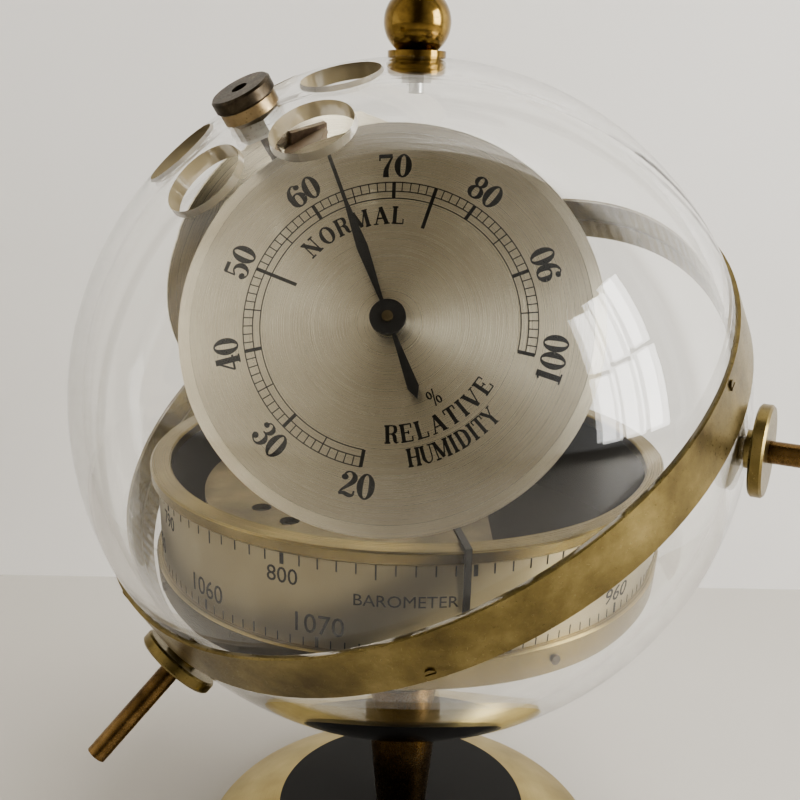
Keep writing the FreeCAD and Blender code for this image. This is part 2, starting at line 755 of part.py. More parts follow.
def make_pointer():
    """Flat pointer across the drum, folded down over the bezel to the scale."""
    frame = turned(CENTRE, Z_AXIS, size.pointer_azimuth)
    arm = solid("Box", "pointer_arm",
                frame.multiply(Placement(Vector(-size.pointer_tail, -size.pointer_width / 2,
                                                size.pointer_low), Rotation())),
                Length="pointer_tail + pointer_reach", Width="pointer_width",
                Height="pointer_thickness")
    drop = solid("Box", "pointer_fold",
                 frame.multiply(Placement(Vector(size.pointer_reach - size.pointer_drop_thickness,
                                                 -size.pointer_width / 2, size.pointer_drop),
                                          Rotation())),
                 Length="pointer_drop_thickness", Width="pointer_width",
                 Height="pointer_low + pointer_thickness - pointer_drop")
    hub_low = size.pointer_low - (size.pointer_hub_height - size.pointer_thickness) / 2
    hub = disc("pointer_hub", CENTRE, hub_low, "pointer_hub_radius", "pointer_hub_height")
    node("baro_pointer", cut("pointer_cut", fuse("pointer_blank", arm, drop, hub),
                             disc("pointer_bore", CENTRE, hub_low, "arbor_radius",
                                  "pointer_hub_height")))


# ---- dials -------------------------------------------------------------------------

def make_coil(name, frame):
    """Flat spiral strip wound as half rings about two centres, half a pitch apart."""
    def half_ring(middle, radius, facing):
        outer = Part.makeCylinder(radius + size.coil_thickness, size.coil_height,
                                  Vector(middle, 0, 0), Z_AXIS, 180)
        inner = Part.makeCylinder(radius, size.coil_height, Vector(middle, 0, 0), Z_AXIS, 180)
        ring = outer.cut(inner)
        if facing < 0:
            ring.rotate(Vector(middle, 0, 0), Z_AXIS, 180)
        return ring

    rings = []
    for turn in range(size.coil_turns):
        radius = size.coil_inner + turn * size.coil_pitch
        rings.append(half_ring(0, radius, 1))
        rings.append(half_ring(size.coil_pitch / 2, radius + size.coil_pitch / 2, -1))
    coil = shape(name + "_coil_shape", rings[0].multiFuse(rings[1:]))
    coil.Placement = along(frame, size.coil_low)
    node(name + "_coil", coil)


def needle_outline():
    """Blade towards +Y and spade tail towards -Y, as corners in order."""
    side = [
        Vector(0.0, size.needle_length, 0),
        Vector(size.needle_thin, 0.99 * size.needle_length, 0),
        Vector(size.needle_thin, 0.7 * size.needle_length, 0),
        Vector(size.needle_wide, 0.42 * size.needle_length, 0),
        Vector(size.needle_thin, 0.1 * size.needle_length, 0),
        Vector(size.needle_thin, -0.2 * size.needle_tail, 0),
        Vector(size.needle_wide, -0.86 * size.needle_tail, 0),
        Vector(0.0, -size.needle_tail, 0),
    ]
    return side + [Vector(-corner.x, corner.y, 0) for corner in side[-2:0:-1]]


def make_dial(name, centre, azimuth, elevation, angle):
    """Bevelled plate with a case, a coil, and a needle on its arbor."""
    frame = dial_frame(centre, azimuth, elevation)
    back = -size.dial_thickness
    body_height = "dial_thickness - dial_bevel_depth"
    bevel = solid("Cone", name + "_bevel", along(frame, -size.dial_bevel_depth),
                  Radius1="dial_radius", Radius2="dial_radius - dial_bevel_width",
                  Height="dial_bevel_depth")
    blank = fuse(name + "_plate_blank",
                 disc(name + "_plate_disc", frame, back, "dial_radius", body_height), bevel)
    arbor_hole = "needle_arbor_radius + bearing_clearance"
    node(name + "_dial", cut(name + "_plate_cut", blank,
                             disc(name + "_plate_hole", frame, back, arbor_hole,
                                  "dial_thickness")))

    case_low = back - size.case_depth
    node(name + "_case", cut(name + "_case_cut",
                             disc(name + "_case_blank", frame, case_low, "case_radius",
                                  "case_depth"),
                             disc(name + "_case_room", frame, case_low + size.case_skin,
                                  "case_radius - case_skin", "case_depth - case_skin"),
                             disc(name + "_case_hole", frame, case_low, arbor_hole,
                                  "case_depth")))
    make_coil(name, frame)

    shaft = disc(name + "_shaft", frame, case_low, "needle_arbor_radius",
                 "dial_thickness + case_depth + needle_arbor_top")
    boss = disc(name + "_boss", frame, size.needle_boss_low, "needle_boss_radius",
                "needle_arbor_top - needle_boss_low")
    node(name + "_arbor", fuse(name + "_arbor_whole", shaft, boss))

    blade = shape(name + "_blade", extruded(needle_outline(), size.needle_thickness))
    blade.Placement = turned(along(frame, size.needle_low), Z_AXIS, -angle)
    hub = disc(name + "_hub", frame, size.needle_low, "needle_hub_radius", "needle_hub_height")
    node(name + "_needle", cut(name + "_needle_cut", fuse(name + "_needle_blank", blade, hub),
                               disc(name + "_needle_bore", frame, size.needle_low,
                                    "needle_arbor_radius", "needle_hub_height")))
    return frame


def make_bracket(frames):
    """Hub on the plug's bolt, a leg on the back of each dial and an arm to the rear one."""
    back = -size.dial_thickness - size.bracket_thickness
    pieces = [disc("bracket_hub", GLOBE, size.bracket_low, "bracket_hub_radius",
                   "bracket_thickness")]
    nut_low = size.bracket_low - size.bracket_nut_height
    tools = [disc("bracket_bore", GLOBE, size.bracket_low, "plug_bolt_radius",
                  "bracket_thickness"),
             disc("bracket_nut_room", GLOBE, nut_low, "bracket_nut_radius + bracket_gap",
                  "bracket_nut_height")]
    for name, frame in frames.items():
        leg_frame = turned(frame, Z_AXIS, LEG_TURNS[name])
        corner = Vector(-size.bracket_width / 2, size.leg_low, back)
        pieces.append(solid("Box", name + "_leg", leg_frame.multiply(Placement(corner, Rotation())),
                            Length="bracket_width", Width="leg_high - leg_low",
                            Height="bracket_thickness"))
        tools.append(disc(name + "_front_room", frame, -size.dial_thickness,
                          "dial_radius + bracket_gap", "dial_radius"))

    middle = size.bracket_thickness / 2
    start = along(GLOBE, size.bracket_low + middle).Base
    rear_leg = turned(frames["thermo"], Z_AXIS, LEG_TURNS["thermo"])
    run = rear_leg.multVec(Vector(0, size.arm_meets, back + middle)) - start
    across = GLOBE.Rotation.multVec(Z_AXIS).cross(run).normalize()
    arm_frame = Placement(start, Rotation(run, across, run.cross(across), "XYZ"))
    arm_corner = Vector(0, -size.bracket_width / 2, -middle)
    arm = solid("Box", "bracket_arm", arm_frame.multiply(Placement(arm_corner, Rotation())),
                Width="bracket_width", Height="bracket_thickness")
    arm.Length = run.Length
    pieces.append(arm)
    node("dial_bracket", cut("bracket_cut", fuse("bracket_blank", *pieces), *tools))
    node("bracket_nut", cut("bracket_nut_cut",
                            hexagon("bracket_nut_blank", GLOBE, nut_low, "bracket_nut_radius",
                                    "bracket_nut_height"),
                            disc("bracket_nut_bore", GLOBE, nut_low, "plug_bolt_radius",
                                 "bracket_nut_height")))


# ---- build and write ---------------------------------------------------------------

def check_and_write():
    """Stop on any failed object or bad shape, then write each node's STEP file."""
    doc.recompute()
    for item in doc.Objects:
        if "Invalid" in item.State or "Error" in item.State:
            raise RuntimeError(f"{item.Name} failed: {item.State}")
    labels = [piece.Label for piece in nodes]
    if len(labels) != len(set(labels)):
        raise RuntimeError("two nodes share a name")
    for piece in nodes:
        if piece.Shape.isNull() or not piece.Shape.isValid():
            raise RuntimeError(f"{piece.Label} has no valid shape")
    os.makedirs("parts", exist_ok=True)
    for piece in nodes:
        piece.Shape.exportStep(f"parts/{piece.Label}.step")
    print(len(nodes), "nodes written")


make_base()
make_stem()
make_globe()
make_band()
make_rods()
make_top_ball()
make_plug()
make_drum()
make_capsule()
make_plates()
make_gears()
make_pointer()
make_bracket({name: make_dial(name, *spec) for name, spec in DIALS.items()})
check_and_write()
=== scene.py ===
import json
import math

import bmesh
import bpy
from mathutils import Matrix, Vector


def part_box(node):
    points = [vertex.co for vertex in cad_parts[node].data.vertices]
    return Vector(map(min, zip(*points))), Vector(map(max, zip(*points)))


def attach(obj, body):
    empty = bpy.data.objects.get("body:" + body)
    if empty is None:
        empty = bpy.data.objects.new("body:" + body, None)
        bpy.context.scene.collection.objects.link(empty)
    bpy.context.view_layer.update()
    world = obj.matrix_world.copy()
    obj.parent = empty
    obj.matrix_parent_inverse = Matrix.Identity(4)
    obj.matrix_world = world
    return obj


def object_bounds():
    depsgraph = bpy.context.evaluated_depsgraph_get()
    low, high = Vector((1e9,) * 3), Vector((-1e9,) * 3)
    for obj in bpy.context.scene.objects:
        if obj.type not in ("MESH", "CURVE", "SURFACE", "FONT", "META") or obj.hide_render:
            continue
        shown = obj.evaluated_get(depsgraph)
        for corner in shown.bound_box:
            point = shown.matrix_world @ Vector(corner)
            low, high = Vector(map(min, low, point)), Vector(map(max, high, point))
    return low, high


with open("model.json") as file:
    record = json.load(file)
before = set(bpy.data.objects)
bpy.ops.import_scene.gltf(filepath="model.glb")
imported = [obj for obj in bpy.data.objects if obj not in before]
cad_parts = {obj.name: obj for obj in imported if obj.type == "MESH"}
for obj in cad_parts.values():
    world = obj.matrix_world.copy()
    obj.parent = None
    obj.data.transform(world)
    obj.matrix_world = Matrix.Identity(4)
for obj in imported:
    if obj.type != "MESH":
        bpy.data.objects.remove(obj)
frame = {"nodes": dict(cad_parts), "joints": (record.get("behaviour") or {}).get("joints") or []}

# Desk weather globe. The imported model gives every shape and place; this script adds
# the printed scales, the materials, the floor and wall, the lights and the camera.
# Lengths are in metres, and printed artwork is laid out in millimetres.

MM = 0.001
cad_low, cad_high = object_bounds()
nodes = frame["nodes"]
joints = {joint["name"]: joint for joint in frame["joints"]}

INK_HEIGHT = 0.04       # mm that print stands above its surface
INK_SINK = 0.02         # mm that print reaches into its surface
WELD = 0.001            # mm within which corners of a letter are one


# ---- places taken from the frame ---------------------------------------------------

def globe_middle():
    """Centre of the globe, halfway between the two halves' extents."""
    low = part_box("lower_hemisphere")[0]
    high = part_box("upper_hemisphere")[1]
    return Vector((0, 0, (low.z + high.z) / 2))


GLOBE_CENTRE = globe_middle()


def dial_place(prefix):
    """Face centre, right, up and facing directions of a dial, in metres."""
    joint = joints[prefix + "_needle_turn"]
    facing = Vector(joint["axis"]).normalized()
    right = Vector((0, 0, 1)).cross(facing).normalized()
    return Vector(joint["pos_m"]), right, facing.cross(right), facing


def dial_reach(prefix):
    """Radius of a dial's plate, in mm."""
    centre, _, _, facing = dial_place(prefix)
    spread = [vertex.co - centre for vertex in nodes[prefix + "_dial"].data.vertices]
    return max((offset - facing * offset.dot(facing)).length for offset in spread) / MM


# ---- materials ---------------------------------------------------------------------

def new_material(name):
    material = bpy.data.materials.new(name)
    material.use_nodes = True
    tree = material.node_tree
    tree.nodes.clear()
    output = tree.nodes.new("ShaderNodeOutputMaterial")
    shader = tree.nodes.new("ShaderNodeBsdfPrincipled")
    tree.links.new(shader.outputs[0], output.inputs["Surface"])
    return material, tree, shader


def millimetres(tree):
    """Surface position in mm, so that texture scales are per mm."""
    place = tree.nodes.new("ShaderNodeTexCoord")
    scale = tree.nodes.new("ShaderNodeVectorMath")
    scale.operation = "SCALE"
    scale.inputs["Scale"].default_value = 1 / MM
    tree.links.new(place.outputs["Object"], scale.inputs[0])
    return scale.outputs[0]


def noise(tree, place, scale, detail, rough):
    """Noise between 0 and 1, with its scale in features per mm."""
    node = tree.nodes.new("ShaderNodeTexNoise")
    node.inputs["Scale"].default_value = scale
    node.inputs["Detail"].default_value = detail
    node.inputs["Roughness"].default_value = rough
    tree.links.new(place, node.inputs["Vector"])
    return node.outputs["Fac"]


def ramp(tree, value, stops):
    """Colour ramp with (position, colour) stops; a number stands for a grey."""
    node = tree.nodes.new("ShaderNodeValToRGB")
    elements = node.color_ramp.elements
    while len(elements) < len(stops):
        elements.new(0.5)
    for element, (position, colour) in zip(elements, stops):
        element.position = position
        if isinstance(colour, (int, float)):
            colour = (colour, colour, colour)
        element.color = (*colour, 1)
    tree.links.new(value, node.inputs["Fac"])
    return node.outputs["Color"]


def bump(tree, shader, height, strength, distance):
    """Small relief from a height, with its depth in mm."""
    node = tree.nodes.new("ShaderNodeBump")
    node.inputs["Strength"].default_value = strength
    node.inputs["Distance"].default_value = distance * MM
    tree.links.new(height, node.inputs["Height"])
    tree.links.new(node.outputs[0], shader.inputs["Normal"])


METAL_GRAIN = 2.2       # grains per mm in aged metal


def aged_metal(name, dark, mid, light, rough=(0.22, 0.42), patch=0.09):
    """Metal with a patina in patches, a fine grain and uneven polish."""
    material, tree, shader = new_material(name)
    place = millimetres(tree)
    patches = noise(tree, place, patch, 6, 0.62)
    colour = ramp(tree, patches, [(0.30, dark), (0.52, mid), (0.72, light)])
    tree.links.new(colour, shader.inputs["Base Color"])
    shader.inputs["Metallic"].default_value = 1.0
    grain = noise(tree, place, METAL_GRAIN, 5, 0.7)
    polish = ramp(tree, grain, [(0.25, rough[0]), (0.75, rough[1])])
    tree.links.new(polish, shader.inputs["Roughness"])
    bump(tree, shader, grain, 0.12, 0.05)
    return material


def painted(name, colour, rough, grain_scale=1.5, strength=0.1, variation=0.35, gloss=0.4):
    """Paint or plastic with a slight unevenness in colour and gloss."""
    material, tree, shader = new_material(name)
    place = millimetres(tree)
    grain = noise(tree, place, grain_scale, 5, 0.6)
    darker = tuple(channel * (1 - variation) for channel in colour)
    lighter = tuple(min(1.0, channel * (1 + variation)) for channel in colour)
    tree.links.new(ramp(tree, grain, [(0.3, darker), (0.7, lighter)]), shader.inputs["Base Color"])
    tree.links.new(ramp(tree, grain, [(0.3, rough * 0.85), (0.7, rough * 1.15)]),
                   shader.inputs["Roughness"])
    shader.inputs["Specular IOR Level"].default_value = gloss
    if strength:
        bump(tree, shader, grain, strength, 0.03)
    return material


def felt_material():
    material, tree, shader = new_material("felt")
    place = millimetres(tree)
    fibre = noise(tree, place, 3.5, 8, 0.8)
    tree.links.new(ramp(tree, fibre, [(0.3, (0.012, 0.03, 0.02)), (0.7, (0.035, 0.08, 0.05))]),
                   shader.inputs["Base Color"])
    shader.inputs["Roughness"].default_value = 1.0
    shader.inputs["Sheen Weight"].default_value = 0.5
    bump(tree, shader, fibre, 0.8, 0.2)
    return material


def link_mix(tree, factor, first, second):
    """Blend two shaders."""
    mix = tree.nodes.new("ShaderNodeMixShader")
    tree.links.new(factor, mix.inputs["Fac"])
    tree.links.new(first, mix.inputs[1])
    tree.links.new(second, mix.inputs[2])
    return mix.outputs[0]


EDGE_FACING = 0.6       # a face whose normal points less than this outward is a cut edge
FROST_AND_SHADE_SHARE = 0.6       # share on a cut edge of the frosted shader, whose dark colour is painted shade


def cut_edge(tree):
    """How much of the frosted shader, darkened with painted shade, a face takes: in part where it
    stands across the globe's wall, else not.
    """
    place = tree.nodes.new("ShaderNodeNewGeometry")
    offset = tree.nodes.new("ShaderNodeVectorMath")
    offset.operation = "SUBTRACT"
    offset.inputs[1].default_value = GLOBE_CENTRE
    tree.links.new(place.outputs["Position"], offset.inputs[0])
    outward = tree.nodes.new("ShaderNodeVectorMath")
    outward.operation = "NORMALIZE"
    tree.links.new(offset.outputs[0], outward.inputs[0])
    facing = tree.nodes.new("ShaderNodeVectorMath")
    facing.operation = "DOT_PRODUCT"
    tree.links.new(outward.outputs[0], facing.inputs[0])
    tree.links.new(place.outputs["True Normal"], facing.inputs[1])
    size = tree.nodes.new("ShaderNodeMath")
    size.operation = "ABSOLUTE"
    tree.links.new(facing.outputs["Value"], size.inputs[0])
    across = tree.nodes.new("ShaderNodeMath")
    across.operation = "LESS_THAN"
    across.inputs[1].default_value = EDGE_FACING
    tree.links.new(size.outputs[0], across.inputs[0])
    share = tree.nodes.new("ShaderNodeMath")
    share.operation = "MULTIPLY"
    share.inputs[1].default_value = FROST_AND_SHADE_SHARE
    tree.links.new(across.outputs[0], share.inputs[0])
    return share.outputs[0]


def clear_material():
    """Clear acrylic that lets lamps through, with frosted cut edges darkened with painted shade.
    """
    material, tree, shader = new_material("clear_acrylic")
    place = millimetres(tree)
    shader.inputs["Base Color"].default_value = (0.985, 0.985, 0.975, 1)
    shader.inputs["Transmission Weight"].default_value = 1.0
    shader.inputs["IOR"].default_value = 1.49
    shader.inputs["Roughness"].default_value = 0.0
    waves = noise(tree, place, 0.03, 2, 0.4)
    bump(tree, shader, waves, 0.08, 0.3)
    # Cut edges: frosted acrylic, its colour darkened to a dim brown as painted shade in the holes
    # through the globe's wall
    frost_and_shade = tree.nodes.new("ShaderNodeBsdfPrincipled")
    frost_and_shade.inputs["Base Color"].default_value = (0.40, 0.33, 0.20, 1)
    frost_and_shade.inputs["Roughness"].default_value = 0.45
    frost_and_shade.inputs["Transmission Weight"].default_value = 0.45
    frost_and_shade.inputs["IOR"].default_value = 1.2
    see = tree.nodes.new("ShaderNodeBsdfTransparent")
    see.inputs["Color"].default_value = (0.93, 0.93, 0.92, 1)
    path = tree.nodes.new("ShaderNodeLightPath")
    output = next(node for node in tree.nodes if node.type == "OUTPUT_MATERIAL")
    body = link_mix(tree, cut_edge(tree), shader.outputs[0], frost_and_shade.outputs[0])
    whole = link_mix(tree, path.outputs["Is Shadow Ray"], body, see.outputs[0])
    tree.links.new(whole, output.inputs["Surface"])
    return material


def around(tree, place, centre, axis):
    """Distance from an axis in mm, and the direction that runs round it."""
    offset = tree.nodes.new("ShaderNodeVectorMath")
    offset.operation = "SUBTRACT"
    offset.inputs[1].default_value = centre / MM
    tree.links.new(place, offset.inputs[0])
    turn = tree.nodes.new("ShaderNodeVectorMath")
    turn.operation = "CROSS_PRODUCT"
    turn.inputs[0].default_value = axis
    tree.links.new(offset.outputs[0], turn.inputs[1])
    length = tree.nodes.new("ShaderNodeVectorMath")
    length.operation = "LENGTH"
    tree.links.new(turn.outputs[0], length.inputs[0])
    direction = tree.nodes.new("ShaderNodeVectorMath")
    direction.operation = "NORMALIZE"
    tree.links.new(turn.outputs[0], direction.inputs[0])
    return length.outputs["Value"], direction.outputs[0]


RING_SHARE = 0.35       # share of the turned rings in turned metal's colour
PATCH_SHARE = 0.65      # share of its patches
QUARTER_TURN = 0.25     # turns the brushed highlight from round the axis to across it


def turned_metal(name, centre, axis, stops, rough, turn_scale=7.0, sheen=0.65,
                 metallic=1.0, bump_strength=0.12):
    """Metal turned or brushed in circles about an axis."""
    material, tree, shader = new_material(name)
    place = millimetres(tree)
    radius, direction = around(tree, place, centre, axis)
    rings = tree.nodes.new("ShaderNodeTexNoise")
    rings.noise_dimensions = "1D"
    rings.inputs["Scale"].default_value = turn_scale
    rings.inputs["Detail"].default_value = 5
    rings.inputs["Roughness"].default_value = 0.75
    tree.links.new(radius, rings.inputs["W"])
    patches = noise(tree, place, 0.1, 4, 0.5)
    blend = tree.nodes.new("ShaderNodeMath")
    blend.operation = "MULTIPLY_ADD"
    blend.inputs[1].default_value = RING_SHARE
    tree.links.new(rings.outputs["Fac"], blend.inputs[0])
    soft = tree.nodes.new("ShaderNodeMath")
    soft.operation = "MULTIPLY"
    soft.inputs[1].default_value = PATCH_SHARE
    tree.links.new(patches, soft.inputs[0])
    tree.links.new(soft.outputs[0], blend.inputs[2])
    tree.links.new(ramp(tree, blend.outputs[0], stops), shader.inputs["Base Color"])
    shader.inputs["Metallic"].default_value = metallic
    shader.inputs["Anisotropic"].default_value = sheen
    shader.inputs["Anisotropic Rotation"].default_value = QUARTER_TURN
    tree.links.new(direction, shader.inputs["Tangent"])
    tree.links.new(ramp(tree, rings.outputs["Fac"], [(0.25, rough[0]), (0.75, rough[1])]),
                   shader.inputs["Roughness"])
    if bump_strength:
        bump(tree, shader, rings.outputs["Fac"], bump_strength, 0.02)
    return material


def dress(material, *names):
    """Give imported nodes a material."""
    for name in names:
        mesh = nodes[name].data
        mesh.materials.clear()
        mesh.materials.append(material)


BRASS_DARK = (0.10, 0.075, 0.032)
BRASS_MID = (0.19, 0.147, 0.06)
BRASS_LIGHT = (0.29, 0.232, 0.105)

OLD_DARK = (0.055, 0.034, 0.014)
OLD_MID = (0.16, 0.10, 0.042)
OLD_LIGHT = (0.30, 0.20, 0.09)

DIAL_STOPS = [(0.34, (0.76, 0.70, 0.55)), (0.5, (0.84, 0.78, 0.63)), (0.66, (0.91, 0.86, 0.71))]


def dress_all():
    brass = aged_metal("aged_brass", BRASS_DARK, BRASS_MID, BRASS_LIGHT)
    old_brass = aged_metal("old_brass", OLD_DARK, OLD_MID, OLD_LIGHT, rough=(0.18, 0.36),
                           patch=0.12)
    ball = aged_metal("ball_brass", (0.10, 0.062, 0.02), (0.22, 0.145, 0.045),
                      (0.34, 0.24, 0.085), rough=(0.10, 0.22), patch=0.25)
    up = Vector((0, 0, 1))
    origin = Vector((0, 0, 0))
    drum_metal = turned_metal("drum_brass", origin, up,
                              [(0.3, (0.16, 0.12, 0.045)), (0.5, (0.24, 0.185, 0.075)),
                               (0.7, (0.32, 0.255, 0.115))], (0.22, 0.36))
    base_metal = turned_metal("base_brass", origin, up,
                              [(0.3, (0.30, 0.235, 0.10)), (0.5, (0.41, 0.33, 0.15)),
                               (0.7, (0.52, 0.43, 0.215))], (0.26, 0.46), turn_scale=4.0)
    dress(brass, "equator_ring", "rod_flange_1", "rod_flange_2", "rod_flange_3",
          *[f"ring_screw_{number}" for number in range(1, 7)])
    dress(old_brass, "stem", "drum_post", "rod_1", "rod_2", "rod_3")
    dress(ball, "top_ball", "ball_collar")
    dress(drum_metal, "top_bezel", "lower_rim")
    dress(base_metal, "base_shell")
    dress(clear_material(), "lower_hemisphere", "upper_hemisphere")
    dress(turned_metal("scale_silver", origin, up,
                       [(0.3, (0.29, 0.247, 0.152)), (0.5, (0.335, 0.287, 0.178)),
                        (0.7, (0.385, 0.335, 0.215))], (0.30, 0.40), turn_scale=0.05,
                       metallic=0.9, bump_strength=0), "scale_strip")
    for prefix in ("hygro", "thermo"):
        centre, _, _, facing = dial_place(prefix)
        dress(turned_metal(prefix + "_face", centre, facing, DIAL_STOPS, (0.22, 0.38),
                           turn_scale=6.0, sheen=0.85), prefix + "_dial")
    black = painted("satin_black", (0.008, 0.008, 0.008), 0.42, gloss=0.25)
    dress(black, "base_inlay", "baro_pointer", "hygro_needle", "thermo_needle")
    dark = aged_metal("dark_bronze", (0.035, 0.028, 0.02), (0.075, 0.06, 0.042),
                      (0.15, 0.12, 0.085), rough=(0.28, 0.5), patch=0.4)
    dress(dark, "plug_cap", "rim_screws")
    dress(aged_metal("plug_bronze", (0.14, 0.10, 0.055), (0.28, 0.21, 0.12), (0.42, 0.33, 0.2)),
          "plug_collar")
    dress(painted("drum_black", (0.012, 0.0105, 0.009), 0.6, grain_scale=0.3, strength=0,
                  gloss=0.12), "drum_wall", "drum_floor")
    steel = aged_metal("steel", (0.32, 0.32, 0.31), (0.5, 0.5, 0.48), (0.62, 0.62, 0.6))
    dress(steel, "tie_rod", "base_nut", "drum_nut", "ball_pin", "ball_nut", "plug_nut",
          "bracket_nut", "baro_arbor", "sector_arbor", "lower_bridge", "spring_bridge",
          "pillar_1", "pillar_2", "pillar_3")
    movement = aged_metal("movement_brass", (0.075, 0.057, 0.03), (0.14, 0.11, 0.06),
                          (0.21, 0.17, 0.10), rough=(0.3, 0.5))
    dress(movement, "movement_plate", "sector")
    dress(aged_metal("capsule_nickel", (0.36, 0.33, 0.27), (0.52, 0.48, 0.4), (0.66, 0.62, 0.54)),
          "aneroid_capsule")
    dress(painted("bracket_brown", (0.10, 0.07, 0.045), 0.5), "dial_bracket")
    dress(aged_metal("case_zinc", (0.30, 0.28, 0.22), (0.42, 0.40, 0.33), (0.54, 0.52, 0.44),
                     rough=(0.34, 0.52)), "hygro_case", "thermo_case")
    dress(movement, "hygro_coil", "thermo_coil", "hygro_arbor", "thermo_arbor")
    dress(painted("cast_iron", (0.03, 0.03, 0.03), 0.7, 2.5, 0.6), "base_weight")
    dress(felt_material(), "base_felt")


# ---- printed artwork ---------------------------------------------------------------

# Each digit and letter is a list of strokes on a height of one, with its middle at x = 0.
# A stroke is a list of (x, y, width): two points make a straight bar, more make a curve.
THICK = 0.19
THIN = 0.06
SERIF = 0.065
SERIF_REACH = 0.14


def ring(x, y, wide, high, thick=THICK, thin=THIN, steps=20):
    """Closed oval stroke, thick at its sides and thin at top and bottom."""
    points = []
    for step in range(steps + 1):
        angle = math.tau * step / steps
        width = thin + (thick - thin) * math.cos(angle) ** 2
        points.append((x + wide * math.cos(angle), y + high * math.sin(angle), width))
    return points


def bar(x1, y1, x2, y2, width):
    return [(x1, y1, width), (x2, y2, width)]


def stem(x, width):
    """Upright of full height with slab serifs."""
    left, right = x - SERIF_REACH, x + SERIF_REACH
    foot, head = SERIF / 2, 1 - SERIF / 2
    return [bar(x, 0, x, 1, width), bar(left, foot, right, foot, SERIF),
            bar(left, head, right, head, SERIF)]


def dot(x, y, radius):
    return ring(x, y, radius / 2, radius / 2, radius, radius, 10)


def spun(strokes):
    """Strokes turned half a turn about the middle of the glyph."""
    return [[(-x, 1 - y, width) for x, y, width in stroke] for stroke in strokes]


SIX = [ring(0.01, 0.31, 0.2, 0.28),
       [(0.17, 0.86, 0.07), (0.05, 0.97, 0.05), (-0.12, 0.86, 0.11), (-0.21, 0.6, 0.17),
        (-0.2, 0.34, 0.17)],
       dot(0.17, 0.82, 0.1)]

